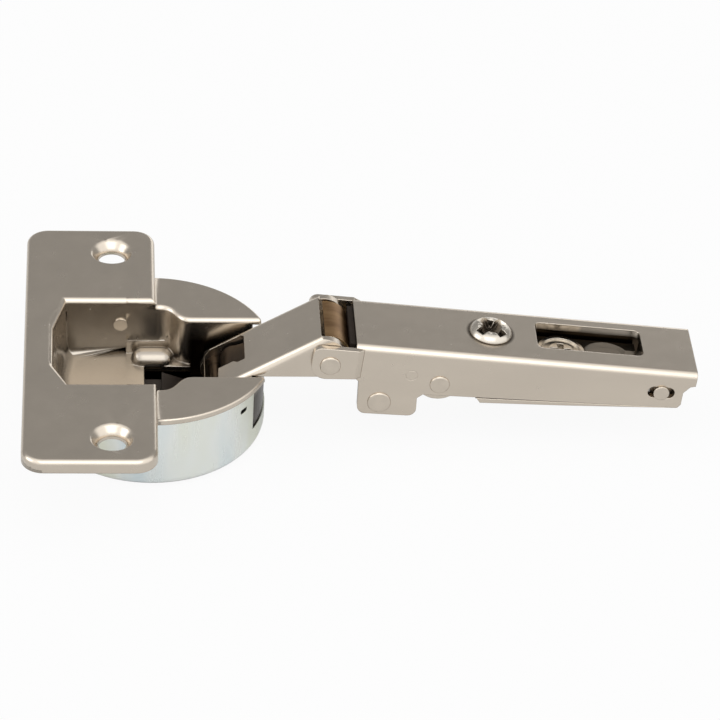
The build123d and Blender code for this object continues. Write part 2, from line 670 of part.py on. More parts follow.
def leaf_line(depth, tail):
    """The pack's side view at a depth below its outer face: over the pivot, back, then a tail."""
    centre = Vector(*LEAF_CENTRE)
    turn = radians(LEAF_TURN_ANGLE)
    back_centre = centre + Vector(cos(turn), sin(turn)) * (LEAF_R + LEAF_BACK_R)
    back_start = LEAF_TURN_ANGLE - 180
    back_end = ARM_TILT - 90
    with BuildLine() as line:
        CenterArc(centre, LEAF_R - depth, LEAF_START_ANGLE, LEAF_TURN_ANGLE - LEAF_START_ANGLE)
        back = CenterArc(back_centre, LEAF_BACK_R + depth, back_start, back_end - back_start)
        Line(back @ 1, (back @ 1) + Vector(ALONG_ARM[0], ALONG_ARM[2]) * tail)
    return line.wire()


# Leaf springs: a pack of bent strips, one node each
for number in range(LEAF_COUNT):
    top = leaf_line(number * LEAF_PITCH, LEAF_TAIL)
    bottom = leaf_line(number * LEAF_PITCH + LEAF_THICK, LEAF_TAIL)
    with BuildPart() as spring_leaf:
        with BuildSketch(Plane.XZ.offset(-LEAF_HALF)):
            with BuildLine():
                add(top)
                add(bottom)
                Line(top @ 0, bottom @ 0)
                Line(top @ 1, bottom @ 1)
            make_face()
        extrude(amount=2 * LEAF_HALF)
    finish(spring_leaf, f"spring_leaf_{number + 1}")

# Spring saddle: a moulded block that fills the space between the pack and the arm's web
with BuildPart() as spring_saddle:
    pack_face = leaf_line(-SADDLE_GAP, LEAF_TAIL - 0.4)
    with BuildSketch(Plane.XZ.offset(-SADDLE_HALF)):
        with BuildLine():
            add(pack_face)
            Polyline(
                pack_face @ 1,
                arm_point(SADDLE_END, -ARM_SHEET - SADDLE_GAP),
                arm_point(-SADDLE_GAP, -ARM_SHEET - SADDLE_GAP),
                arm_point(-SADDLE_GAP, -ARM_SHEET / 2),
                arm_point(SADDLE_START, -ARM_SHEET / 2),
                pack_face @ 0,
            )
        make_face()
        with Locations(arm_point(SADDLE_START, 0)):
            Rectangle(
                2 * LEAF_R,
                4 * LEAF_R,
                rotation=ARM_TILT,
                align=(Align.MAX, Align.CENTER),
                mode=Mode.SUBTRACT,
            )
    extrude(amount=2 * SADDLE_HALF)
finish(spring_saddle, "spring_saddle")

# Adjusting channel: slides its keyhole over the base plate, and rocks on the two rivets
with BuildPart() as adjusting_channel:
    channel_origin = ARM_WEB.from_local_coords((0, 0, CHANNEL_TOP))
    with BuildSketch(Plane(origin=channel_origin, x_dir=(0, 1, 0), z_dir=ALONG_ARM)):
        add(channel_section(CHANNEL_HALF, CHANNEL_SHEET, CHANNEL_SHEET, TAB_DEPTH))
    extrude(amount=CHANNEL_END)
    with BuildSketch(ARM_SIDE):
        with BuildLine():
            Polyline(
                (CHANNEL_START, CHANNEL_TOP),
                (CHANNEL_END, CHANNEL_TOP),
                (CHANNEL_END, -6.0),
                (CHANNEL_END - 10.4, -6.6),
                (CHANNEL_END - 11.8, -8.2),
                (CHANNEL_START + 9.7, -8.9),
                (CHANNEL_START + 9.3, -7.2),
                (CHANNEL_START, -6.6),
                close=True,
            )
        make_face()
        with Locations(ADJUSTER_UV):
            Circle(CHANNEL_EAR_R)
        with Locations((CHANNEL_START, 0)):
            Rectangle(2 * TAB_DEPTH, 2 * TAB_DEPTH, align=(Align.MAX, Align.CENTER), mode=Mode.SUBTRACT)
    extrude(amount=2 * CHANNEL_HALF, both=True, mode=Mode.INTERSECT)
    with BuildSketch(ARM_WEB.offset(CHANNEL_TOP)):
        with Locations((CHANNEL_WEB_START, 0)):
            Rectangle(
                2 * CHANNEL_WEB_START,
                2 * (CHANNEL_HALF - CHANNEL_SHEET),
                align=(Align.MAX, Align.CENTER),
            )
        with Locations((KEYHOLE_U, MIDDLE_Y)):
            Circle(KEYHOLE_R)
            Rectangle(CHANNEL_END, KEYHOLE_SLOT, align=(Align.MIN, Align.CENTER))
        with Locations((SIDE_SCREW_U, SIDE_SCREW_Y)):
            Circle(SIDE_NECK_R + SIDE_NECK_PLAY)
        with Locations((CAM_U, MIDDLE_Y)):
            Circle(CAM_BOSS_R + RUNNING_GAP)
    extrude(amount=-2 * CHANNEL_SHEET, mode=Mode.SUBTRACT)
    with Locations((arm_point(*ADJUSTER_UV)[0], 0, arm_point(*ADJUSTER_UV)[1])):
        Cylinder(ADJUSTER_R + RUNNING_GAP, 3 * CHANNEL_HALF, rotation=ACROSS, mode=Mode.SUBTRACT)
finish(adjusting_channel, "adjusting_channel")


# Depth cam: a rimmed disc above the channel's web, with an offset lobe below it
CAM_TOP = ARM_WEB.offset(CHANNEL_TOP + CAM_RIM_HEIGHT + FLAT_GAP)
CAM_BOTTOM = ARM_WEB.offset(CHANNEL_TOP - CHANNEL_SHEET - FLAT_GAP)
with BuildPart() as depth_cam:
    with BuildSketch(CAM_TOP.offset(-CAM_RIM_HEIGHT)):
        with Locations((CAM_U, MIDDLE_Y)):
            Circle(CAM_RIM_R)
    extrude(amount=CAM_RIM_HEIGHT)
    with BuildSketch(CAM_TOP):
        with Locations((CAM_U, MIDDLE_Y)):
            Circle(CAM_RIM_R - CAM_RIM_HEIGHT)
            Circle(CAM_BOSS_R, mode=Mode.SUBTRACT)
    extrude(amount=-CAM_RIM_HEIGHT / 2, mode=Mode.SUBTRACT)
    with BuildSketch(CAM_TOP.offset(-CAM_RIM_HEIGHT)):
        with Locations((CAM_U, MIDDLE_Y)):
            Circle(CAM_BOSS_R)
    extrude(amount=-CHANNEL_SHEET - 2 * FLAT_GAP)
    with BuildSketch(CAM_BOTTOM):
        with Locations((CAM_U + CAM_THROW, MIDDLE_Y)):
            Circle(CAM_LOBE_R)
    extrude(amount=-CAM_LOBE_HEIGHT)
    with BuildSketch(CAM_TOP):
        with Locations((CAM_U, MIDDLE_Y)):
            Rectangle(CAM_DRIVE, DRIVE_WIDTH)
            Rectangle(DRIVE_WIDTH, CAM_DRIVE)
    extrude(amount=-DRIVE_DEPTH, mode=Mode.SUBTRACT)
finish(depth_cam, "depth_cam")

# Side screw: domed head on the arm's web, a waist in the channel and a foot below it
SCREW_ORIGIN = ARM_WEB.from_local_coords((SIDE_SCREW_U, SIDE_SCREW_Y, 0))
SHANK_END = CHANNEL_TOP + SIDE_NECK_PLAY
FOOT_TOP = CHANNEL_TOP - CHANNEL_SHEET - SIDE_NECK_PLAY
with BuildPart() as side_adjusting_screw:
    with BuildSketch(Plane(origin=SCREW_ORIGIN, x_dir=ALONG_ARM, z_dir=(0, -1, 0))):
        with BuildLine():
            Polyline(
                (SIDE_HEAD_R, FLAT_GAP),
                (SIDE_SHANK_R, FLAT_GAP),
                (SIDE_SHANK_R, SHANK_END),
                (SIDE_NECK_R, SHANK_END),
                (SIDE_NECK_R, FOOT_TOP),
                (SIDE_SHANK_R, FOOT_TOP),
                (SIDE_SHANK_R, FOOT_TOP - SIDE_FOOT_HEIGHT),
                (0, FOOT_TOP - SIDE_FOOT_HEIGHT),
                (0, SIDE_HEAD_HEIGHT),
                (SIDE_FLAT_R, SIDE_HEAD_HEIGHT),
            )
            ThreePointArc(
                (SIDE_FLAT_R, SIDE_HEAD_HEIGHT),
                SIDE_DOME_POINT,
                (SIDE_HEAD_R, FLAT_GAP),
            )
        make_face()
    revolve(axis=Axis(SCREW_ORIGIN, ABOVE_ARM))
    screw_top = Plane(
        origin=ARM_WEB.from_local_coords((SIDE_SCREW_U, SIDE_SCREW_Y, SIDE_HEAD_HEIGHT)),
        x_dir=ALONG_ARM,
        z_dir=ABOVE_ARM,
    )
    with BuildSketch(screw_top):
        Rectangle(DRIVE_LENGTH, DRIVE_WIDTH)
        Rectangle(DRIVE_WIDTH, DRIVE_LENGTH)
    extrude(amount=-DRIVE_DEPTH, taper=10, mode=Mode.SUBTRACT)
finish(side_adjusting_screw, "side_adjusting_screw")

# Release latch: a folded catch at the rear that grips the base plate
with BuildPart() as release_latch:
    with BuildSketch(ARM_SIDE.offset(-LATCH_HALF)):
        with BuildLine():
            Polyline(
                (LATCH_START, -2.4),
                (LATCH_END, -1.9),
                (LATCH_END, -5.9),
                (LATCH_END - 0.8, -7.3),
                (LATCH_END - 2.6, -7.0),
                (LATCH_END - 2.2, -6.1),
                (LATCH_START, -5.4),
                close=True,
            )
        make_face()
        with Locations(LATCH_UV):
            Circle(LATCH_PIN_R, mode=Mode.SUBTRACT)
    extrude(amount=2 * LATCH_HALF)
    with BuildSketch(ARM_SIDE.offset(LATCH_SHEET - LATCH_HALF)):
        with Locations((LATCH_END - LATCH_SHEET, 0)):
            Rectangle(LATCH_END, 4 * TAB_DEPTH, align=(Align.MAX, Align.CENTER))
    extrude(amount=2 * (LATCH_HALF - LATCH_SHEET), mode=Mode.SUBTRACT)
finish(release_latch, "release_latch")

# The latch's two pins, which slide in the slots of the arm
with BuildPart() as latch_pins:
    for side in (1, -1):
        with BuildSketch(ARM_SIDE.offset(side * (LATCH_HALF - LATCH_SHEET))):
            with Locations(LATCH_UV):
                Circle(LATCH_PIN_R)
        extrude(amount=side * (ARM_HALF + FLAT_GAP - LATCH_HALF + LATCH_SHEET))
        with BuildSketch(ARM_SIDE.offset(side * (ARM_HALF + FLAT_GAP))):
            with Locations(LATCH_UV):
                Circle(LATCH_HEAD_R)
        extrude(amount=side * HEAD_HEIGHT)
finish(latch_pins, "latch_pins")


def coil_spring(start, direction, length):
    """A compression spring of the given free length, from a start point along a direction."""
    height = length - 2 * SPRING_WIRE_R
    with BuildPart() as spring:
        with BuildLine():
            coil = Helix(height / SPRING_TURNS, height, SPRING_COIL_R, center=start, direction=direction)
        with BuildSketch(Plane(origin=coil @ 0, z_dir=coil % 0)):
            Circle(SPRING_WIRE_R)
        sweep(path=coil)
    return spring


# Return spring of the latch, between the arm's lug and the latch
latch_spring_u = WINDOW_END + LUG_THICK + SPRING_WIRE_R
latch_spring = coil_spring(
    ARM_WEB.from_local_coords((latch_spring_u, MIDDLE_Y, LATCH_SPRING_V)),
    ALONG_ARM,
    LATCH_END - LATCH_SHEET - WINDOW_END - LUG_THICK,
)
finish(latch_spring, "latch_spring")

# Damper housing: a moulded block on the can's floor with two cheeks that guide the slider
with BuildPart() as damper_housing:
    with BuildSketch(Plane.XY.offset(HOUSING_BOTTOM)):
        with Locations((HOUSING_LEFT, 0)):
            Rectangle(FLOOR_END_X - HOUSING_LEFT, 2 * HOUSING_HALF, align=(Align.MIN, Align.CENTER))
        with Locations((HOUSING_RIGHT, 0)):
            Rectangle(-HOUSING_RIGHT, 2 * CHEEK_INNER, align=(Align.MIN, Align.CENTER), mode=Mode.SUBTRACT)
    extrude(amount=HOUSING_TOP - HOUSING_BOTTOM)
    upright = damper_housing.edges().filter_by(Axis.Z)
    fillet(upright.filter_by(lambda e: e.center().X < HOUSING_LEFT + TINY), HOUSING_CORNER_R)
    with BuildSketch(Plane.YZ.offset(CYLINDER_LEFT)):
        with Locations((0, DAMPER_Z)):
            Circle(CYLINDER_R)
    extrude(amount=HOUSING_RIGHT - CYLINDER_LEFT + TINY, mode=Mode.SUBTRACT)
finish(damper_housing, "damper_housing")

# Damper cylinder: a closed bore with a hole for the rod
with BuildPart() as damper_cylinder:
    with BuildSketch(Plane.YZ.offset(CYLINDER_LEFT)):
        with Locations((0, DAMPER_Z)):
            Circle(CYLINDER_R)
    extrude(amount=CYLINDER_RIGHT - CYLINDER_LEFT)
    with BuildSketch(Plane.YZ.offset(CYLINDER_LEFT + BORE_END_WALL)):
        with Locations((0, DAMPER_Z)):
            Circle(BORE_R)
    extrude(amount=CYLINDER_RIGHT - CYLINDER_LEFT - 2 * BORE_END_WALL, mode=Mode.SUBTRACT)
    with BuildSketch(Plane.YZ.offset(CYLINDER_RIGHT - 2 * BORE_END_WALL)):
        with Locations((0, DAMPER_Z)):
            Circle(ROD_R + RUNNING_GAP)
    extrude(amount=3 * BORE_END_WALL, mode=Mode.SUBTRACT)
finish(damper_cylinder, "damper_cylinder")

# Damper piston and its rod, which ends on the slider
with BuildPart() as damper_piston:
    with BuildSketch(Plane.YZ.offset(ROD_LEFT)):
        with Locations((0, DAMPER_Z)):
            Circle(PISTON_R)
    extrude(amount=PISTON_LENGTH)
    with BuildSketch(Plane.YZ.offset(ROD_LEFT)):
        with Locations((0, DAMPER_Z)):
            Circle(ROD_R)
    extrude(amount=SLIDER_LEFT - ROD_LEFT)
finish(damper_piston, "damper_piston")

# Damper slider: guided between the cheeks, with a ramp that the closing link presses
with BuildPart() as damper_slider:
    with BuildSketch(Plane.XZ.offset(-SLIDER_HALF)):
        with BuildLine():
            Polyline(
                (SLIDER_LEFT, HOUSING_TOP - FLAT_GAP),
                (SLIDER_STEP_X, HOUSING_TOP - FLAT_GAP),
                (SLIDER_STEP_X, SLIDER_STEP_TOP),
                (SLIDER_TIP_X, SLIDER_TIP_TOP),
                (SLIDER_TIP_X, HOUSING_BOTTOM + FLAT_GAP),
                (SLIDER_LEFT, HOUSING_BOTTOM + FLAT_GAP),
                close=True,
            )
        make_face()
    extrude(amount=2 * SLIDER_HALF)
finish(damper_slider, "damper_slider")

# Return spring of the damper, round the rod between the cylinder and the slider
damper_spring = coil_spring(
    (CYLINDER_RIGHT + SPRING_WIRE_R, 0, DAMPER_Z),
    (1, 0, 0),
    SLIDER_LEFT - CYLINDER_RIGHT,
)
finish(damper_spring, "damper_spring")
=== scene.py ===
"""Looks of a soft-close concealed cabinet hinge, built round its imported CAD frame.

The frame is in metres. Sizes of the part are named in millimetres and scaled by MM, and the
studio's are in metres. Origin on the cup's axis at the door face, +X along the arm, +Z out of
the mouth of the cup, posed with the door fully open.
"""

import math

import bmesh
import bpy
from mathutils import Matrix, Vector


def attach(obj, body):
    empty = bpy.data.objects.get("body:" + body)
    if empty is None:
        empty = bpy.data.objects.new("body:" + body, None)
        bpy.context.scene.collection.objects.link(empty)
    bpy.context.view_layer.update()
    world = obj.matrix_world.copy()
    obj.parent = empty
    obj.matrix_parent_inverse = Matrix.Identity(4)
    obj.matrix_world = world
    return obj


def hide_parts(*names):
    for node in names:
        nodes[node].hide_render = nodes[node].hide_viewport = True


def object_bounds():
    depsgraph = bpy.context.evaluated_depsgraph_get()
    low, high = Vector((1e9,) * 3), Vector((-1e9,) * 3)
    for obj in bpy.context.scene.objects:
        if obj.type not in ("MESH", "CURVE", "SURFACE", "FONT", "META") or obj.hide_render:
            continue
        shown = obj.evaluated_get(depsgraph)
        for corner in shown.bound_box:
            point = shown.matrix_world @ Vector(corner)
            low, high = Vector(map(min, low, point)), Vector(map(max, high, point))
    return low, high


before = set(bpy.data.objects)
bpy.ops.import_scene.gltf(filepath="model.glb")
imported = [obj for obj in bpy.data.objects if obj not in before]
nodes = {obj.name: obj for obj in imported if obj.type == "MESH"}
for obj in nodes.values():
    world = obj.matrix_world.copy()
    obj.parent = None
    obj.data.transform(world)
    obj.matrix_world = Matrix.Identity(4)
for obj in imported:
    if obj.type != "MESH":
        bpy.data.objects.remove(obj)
cad_box = [list(corner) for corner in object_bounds()]

MM = 0.001

# Camera, from the photograph's perspective
TARGET = Vector((31.71, -1.91, 0.0)) * MM
DISTANCE = 545.7 * MM
YAW = math.radians(5.25)
ELEVATION = math.radians(35.97)
ROLL = math.radians(3.35)
SENSOR = 36.0
LENS = 179.0
CLIP_START = 0.01

# Floor and lamps
FLOOR_SIZE = 6.0
FLOOR_COLOUR = (0.56, 0.56, 0.56, 1)
FLOOR_ROUGHNESS = 0.9
FLOOR_GLOW = 0.93
FLOOR_MIRRORED = 0.36
KEY_LAMP = {"place": (0.05, -0.50, 0.72), "size": 0.70, "power": 1.6}
SIDE_LAMP = {"place": (-0.75, -0.15, 0.45), "size": 0.5, "power": 1.2}
BACK_LAMP = {"place": (0.35, 0.75, 0.16), "size": 0.35, "power": 0.4}

# Brightness of the studio by angle, in half turns from the front horizon over the top to the back
STUDIO_LEVELS = (
    (0.0, 0.85),
    (0.10, 1.35),
    (0.50, 1.45),
    (0.62, 1.05),
    (0.70, 0.43),
    (0.88, 0.37),
    (1.0, 0.70),
)

# Finishes
NICKEL = (0.605, 0.538, 0.455)
# Painted shade for the cup's pocket, darker with depth
POCKET_PAINTED_SHADE = (0.23, 0.212, 0.188)
# Painted shade inside the arm's channel
CHANNEL_PAINTED_SHADE = (0.11, 0.088, 0.062)
# Painted shade for the deepest places: the cup's well, the inside of the can, the arm's inner
# faces and the screw's cross recess
DEEP_PAINTED_SHADE = (0.045, 0.033, 0.022)
ZINC_PALE = (0.84, 0.87, 0.84)
ZINC_BLUE = (0.68, 0.78, 0.82)
ZINC_YELLOW = (0.80, 0.82, 0.70)
BRIGHT_STEEL = (0.60, 0.55, 0.48)
SPRING_GOLD = (0.80, 0.60, 0.34)
LINK_STEEL = (0.070, 0.050, 0.034)
PLASTIC_BLACK = (0.012, 0.008, 0.006)
SADDLE_BLACK = (0.014, 0.009, 0.006)

# Heat tint of each leaf, from its dark clouds to its light ones
LEAF_INNER = ((0.12, 0.060, 0.024), (0.22, 0.12, 0.05))
LEAF_MIDDLE = ((0.15, 0.078, 0.032), (0.28, 0.16, 0.07))
LEAF_OUTER = ((0.18, 0.098, 0.042), (0.34, 0.21, 0.10))

# Rounding of edges as the light sees it
EDGE_RADIUS = 0.14 * MM
ARM_EDGE_RADIUS = 0.2 * MM
CUP_EDGE_RADIUS = 0.22 * MM
PIN_EDGE_RADIUS = 0.28 * MM
LEAF_EDGE_RADIUS = 0.04 * MM

# Grain of the plate
CLOUD_STOPS = (0.30, 0.52, 0.74)
# How strongly edges are lightened: part wear, part painted highlight
EDGE_WEAR_AND_HIGHLIGHT_GAIN = 2.2
GRAIN_SCALE = 5200
GRAIN_DEPTH = 0.004 * MM

# How far sideways a leaf's face has to look to be a sheared edge
CUT_FACE = 0.8

# The arm's own axes at rest: u along it, v out of its top face
ARM_FRONT = Vector((30.8, 0, 5.8))
ARM_TILT = math.radians(-5.6)
ARM_ALONG = Vector((math.cos(ARM_TILT), 0, math.sin(ARM_TILT)))
ARM_ABOVE = Vector((-math.sin(ARM_TILT), 0, math.cos(ARM_TILT)))
ARM_TOP = ARM_FRONT.dot(ARM_ABOVE) * MM
ARM_HALF = 6.5
ARM_SHEET = 1.2
EAR_OUTER = 7.15
EAR_END = 0.4

# Jogs between the ears and the arm's walls
JOG_LENGTH = 0.85
JOG_OVERLAP = 0.05
JOG_INSET = 0.4
JOG_LOW = -5.6
JOG_HIGH = -0.5

# Lower strip of the arm's walls, in u and v
ARM_LOWER_EDGE = (
    (19.3, -7.72),
    (19.5, -7.75),
    (20.1, -8.5),
    (32.4, -7.74),
    (50.3, -6.4),
    (50.3, -6.36),
    (20.2, -7.68),
)

# Drawn pocket of the cup cover, seen in plan at its top and at its floor
FLANGE_TOP = 2.06
POCKET_FLOOR = -7.5
POCKET_SHEET = 0.9
POCKET_TOP_PLAN = (
    (1.2, 10.72),
    (-13.05, 10.72),
    (-14.95, 3.4),
    (-14.85, -6.2),
    (-12.6, -10.72),
    (1.2, -10.72),
)
POCKET_LOW_PLAN = (
    (1.2, 9.97),
    (-12.95, 9.97),
    (-13.9, 3.4),
    (-13.8, -5.4),
    (-12.0, -9.97),
    (1.2, -9.97),
)
RIM_R = 0.8
COVE_R = 2.1
ROUND_STEPS = 6
FILL_END = -3.8
FILL_UNDER_TOP = 0.15
HOLLOW_END = FILL_END + 0.03
HOLLOW_ABOVE = 2
SHARPEST_CORNER = 0.3

# The CAD node's plain bump, which is cut away
OLD_BUMP_END = 2.7
OLD_BUMP_Y = (6.3, 9.93)
OLD_BUMP_Z = (POCKET_FLOOR + 0.01, POCKET_FLOOR + 3.2)

# The rounded bump that takes its place
BUMP_MIDDLE = 0.3
BUMP_REACH = 3.3
BUMP_R = 2.0
BUMP_Y = 8.4
BUMP_Z = -7.6
BUMP_FULLNESS = 5
BUMP_TIP = 0.02
BUMP_STEPS = 16
BUMP_SIDES = 40
BUMP_BASE_PLAN = ((-9, 0), (9, 0), (9, 20), (-9, 20))
BUMP_BASE_Z = (-14, POCKET_FLOOR - 0.4)

# Round tool mark on the pocket's far wall
MARK_X = -4.65
MARK_Y = 10.27
MARK_Z = -2.33
MARK_R = 1.1
MARK_SIDES = 32
MARK_DEPTHS = (-0.3, 0.06)

# Side adjusting screw
SCREW_UV = (20.95, 0.3)
SCREW_PLACE = ARM_FRONT + SCREW_UV[0] * ARM_ALONG
SCREW_TOP = SCREW_PLACE.dot(ARM_ABOVE) * MM
SCREW_HEAD_R = 3.33
CROSS_LENGTH = 5.5
CROSS_WIDTH = 1.25
CROSS_TURN = math.radians(40)
CORNERS = ((-1, -1), (1, -1), (1, 1), (-1, 1))

# Levels of the cross: height over the arm's top, then half its length and half its width there,
# as shares of CROSS_LENGTH and CROSS_WIDTH
CROSS_LEVELS = ((-0.35, 0.30, 0.62), (1.4, 0.53, 0.58))

# Painted shade: between which two places each finish fades to or from its painted shade, and how
# dark it gets
WELL_X = (4.0, 6.4)
WELL_Z = (-0.1, -3.2)
CAN_WALL_R = (16.9, 17.2)
ARM_INNER_Y = (5.4, 5.9)
ARM_INNER_DEPTH = (0.35, 1.25)
SCREW_SHADOW = (0.12, 0.5)
SCREW_SHADOW_DARK = 0.8
POCKET_Z = (0.4, -6.5)
POCKET_DARK = 0.55
CROSS_HEIGHT = (0.78, 0.35)
CROSS_R = (2.6, 2.9)
CROSS_DARK = 0.9
CHANNEL_DEPTH = (7.4, 7.0)
CHANNEL_DARK = 0.8

# Shading of the redrawn pieces
SHARP_ANGLE = math.radians(30)
FLAT_WEIGHT = 90
WELD = 1e-7


def grey(value):
    """A colour with the same red, green and blue."""
    return (value, value, value, 1)


def opaque(colour):
    """A colour with its alpha."""
    return (*colour, 1)


def scaled(colour, factor):
    """A colour made darker or lighter, with its alpha."""
    return tuple(min(1.0, channel * factor) for channel in colour) + (1,)


class Tree:
    """A node tree under construction, with short calls for what repeats."""

    def __init__(self, tree):
        self.tree = tree
        self.nodes = tree.nodes

    def add(self, kind, **settings):
        """A new node with its settings."""
        node = self.nodes.new(kind)
        for name, value in settings.items():
            setattr(node, name, value)
        return node

    def link(self, output, target):
        """Let an input follow an output."""
        self.tree.links.new(output, target)

    def feed(self, value, target):
        """Let an input follow an output, or give it a constant."""
        if isinstance(value, bpy.types.NodeSocket):
            self.link(value, target)
        else:
            target.default_value = value

    def maths(self, operation, first, second=0.0, clamp=False):
        """One arithmetic step on outputs or constants."""
        node = self.add("ShaderNodeMath", operation=operation, use_clamp=clamp)
        for socket, value in zip(node.inputs, (first, second)):
            self.feed(value, socket)
        return node.outputs[0]

    def ramp(self, value, stops):
        """A colour ramp through (place, colour) stops."""
        ramp = self.add("ShaderNodeValToRGB")
        elements = ramp.color_ramp.elements
        while len(elements) < len(stops):
            elements.new(0.5)
        for element, (place, colour) in zip(elements, stops):
            element.position = place
            element.color = colour
        self.link(value, ramp.inputs["Fac"])
        return ramp.outputs["Color"]


class Finish(Tree):
    """A material under construction."""

    def __init__(self, name):
        self.material = bpy.data.materials.new(name)
        self.material.use_nodes = True
        super().__init__(self.material.node_tree)
        self.shader = self.nodes["Principled BSDF"]
        self.place = self.add("ShaderNodeTexCoord").outputs["Object"]

    def stretched(self, scale):
        """The object's own coordinates, scaled along each axis."""
        mapping = self.add("ShaderNodeMapping")
        mapping.inputs["Scale"].default_value = scale
        self.link(self.place, mapping.inputs["Vector"])
        return mapping.outputs["Vector"]

    def noise(self, scale, detail=3.0, stretch=(1, 1, 1)):
        """A noise from 0 to 1, with its scale in cycles for each metre."""
        noise = self.add("ShaderNodeTexNoise")
        noise.inputs["Scale"].default_value = scale
        noise.inputs["Detail"].default_value = detail
        self.link(self.stretched(stretch), noise.inputs["Vector"])
        return noise.outputs["Fac"]

    def mix(self, factor, first, second):
        """A blend of two colours, each an output or a constant."""
        mix = self.add("ShaderNodeMix", data_type="RGBA")
        for socket, value in ((0, factor), (6, first), (7, second)):
            self.feed(value, mix.inputs[socket])
        return mix.outputs[2]

    def span(self, value, low, high, start=0.0, end=1.0):
        """A value that goes from low to high while the given one goes from start to end."""
        span = self.add("ShaderNodeMapRange")
        span.inputs["From Min"].default_value = start
        span.inputs["From Max"].default_value = end
        span.inputs["To Min"].default_value = low
        span.inputs["To Max"].default_value = high
        self.link(value, span.inputs["Value"])
        return span.outputs["Result"]

    def along(self, direction):
        """How far a point of the object lies along a direction."""
        dot = self.add("ShaderNodeVectorMath", operation="DOT_PRODUCT")
        self.link(self.place, dot.inputs[0])
        dot.inputs[1].default_value = direction
        return dot.outputs["Value"]

    def rounded(self, radius):
        """A surface direction that is rounded over edges."""
        bevel = self.add("ShaderNodeBevel", samples=6)
        bevel.inputs["Radius"].default_value = radius
        return bevel.outputs["Normal"]

    def edge_wear_and_highlight(self, rounded, gain):
        """A mask for lightened edges, part wear and part painted highlight: 0 on flat faces,
        rising to 1 on edges.
        """
        facing = self.add("ShaderNodeVectorMath", operation="DOT_PRODUCT")
        self.link(rounded, facing.inputs[0])
        self.link(self.add("ShaderNodeNewGeometry").outputs["Normal"], facing.inputs[1])
        turned = self.maths("SUBTRACT", 1.0, facing.outputs["Value"])
        return self.maths("MULTIPLY", turned, gain, clamp=True)

    def bump(self, height, depth, strength, normal):
        """Relief of a given depth in metres, on a surface direction."""
        bump = self.add("ShaderNodeBump")
        bump.inputs["Strength"].default_value = strength
        bump.inputs["Distance"].default_value = depth
        self.link(height, bump.inputs["Height"])
        self.link(normal, bump.inputs["Normal"])
        return bump.outputs["Normal"]

    def end(self, colour, roughness, normal, metallic=1.0):
        """Connect what was made to the shader."""
        self.link(colour, self.shader.inputs["Base Color"])
        self.link(roughness, self.shader.inputs["Roughness"])
        self.link(normal, self.shader.inputs["Normal"])
        self.shader.inputs["Metallic"].default_value = metallic
        return self.material


def above_arm(finish):
    """How far a point lies along the direction out of the arm's top."""
    return finish.along(tuple(ARM_ABOVE))


def from_screw(finish):
    """How far a point lies from the axis of the side adjusting screw."""
    middle = SCREW_PLACE.dot(ARM_ALONG) * MM
    from_u = finish.maths("SUBTRACT", finish.along(tuple(ARM_ALONG)), middle)
    from_y = finish.maths("SUBTRACT", finish.along((0, 1, 0)), SCREW_UV[1] * MM)
    square_u = finish.maths("MULTIPLY", from_u, from_u)
    square_y = finish.maths("MULTIPLY", from_y, from_y)
    return finish.maths("SQRT", finish.maths("ADD", square_u, square_y))


def well_painted_shade(finish):
    """Painted shade in the links' well: how far into the well a point of the cup cover lies, from
    0 to 1.
    """
    x_start, x_end = WELL_X
    z_start, z_end = WELL_Z
    beyond = finish.span(finish.along((1, 0, 0)), 0.0, 1.0, x_start * MM, x_end * MM)
    below = finish.span(finish.along((0, 0, 1)), 0.0, 1.0, z_start * MM, z_end * MM)
    return finish.maths("MULTIPLY", beyond, below)


def can_painted_shade(finish):
    """Painted shade inside the can: 1 inside the can and 0 on its outer wall."""
    inside, outside = CAN_WALL_R
    flat = finish.add("ShaderNodeVectorMath", operation="LENGTH")
    finish.link(finish.stretched((1, 1, 0)), flat.inputs[0])
    return finish.span(flat.outputs["Value"], 1.0, 0.0, inside * MM, outside * MM)


def arm_painted_shade(finish):
    """Painted shade: 1 on the arm's inner faces, and a painted shadow line round its screw."""
    y_start, y_end = ARM_INNER_Y
    shallow, deep = ARM_INNER_DEPTH
    near, far = SCREW_SHADOW
    inward = finish.maths("ABSOLUTE", finish.along((0, 1, 0)))
    between = finish.span(inward, 1.0, 0.0, y_start * MM, y_end * MM)
    below = finish.span(
        above_arm(finish), 0.0, 1.0, ARM_TOP - shallow * MM, ARM_TOP - deep * MM
    )
    inner = finish.maths("MULTIPLY", between, below)
    ring = finish.span(
        from_screw(finish),
        SCREW_SHADOW_DARK,
        0.0,
        (SCREW_HEAD_R + near) * MM,
        (SCREW_HEAD_R + far) * MM,
    )
    return finish.maths("MAXIMUM", inner, ring)


def pocket_painted_shade(finish):
    """Painted shade in the pocket: darker the deeper a point of the cup cover lies under its face.
    """
    start, end = POCKET_Z
    return finish.span(finish.along((0, 0, 1)), 0.0, POCKET_DARK, start * MM, end * MM)


def cross_painted_shade(finish):
    """Painted shade down in the screw's cross recess, and 0 elsewhere."""
    high, low = CROSS_HEIGHT
    inner, outer = CROSS_R
    below = finish.span(
        above_arm(finish), 0.0, CROSS_DARK, SCREW_TOP + high * MM, SCREW_TOP + low * MM
    )
    inside = finish.span(from_screw(finish), 1.0, 0.0, inner * MM, outer * MM)
    return finish.maths("MULTIPLY", below, inside)


def channel_painted_shade(finish):
    """Painted shade inside the arm, and 0 on the lobes that show below it."""
    low, high = CHANNEL_DEPTH
    return finish.span(
        above_arm(finish), 0.0, CHANNEL_DARK, ARM_TOP - low * MM, ARM_TOP - high * MM
    )


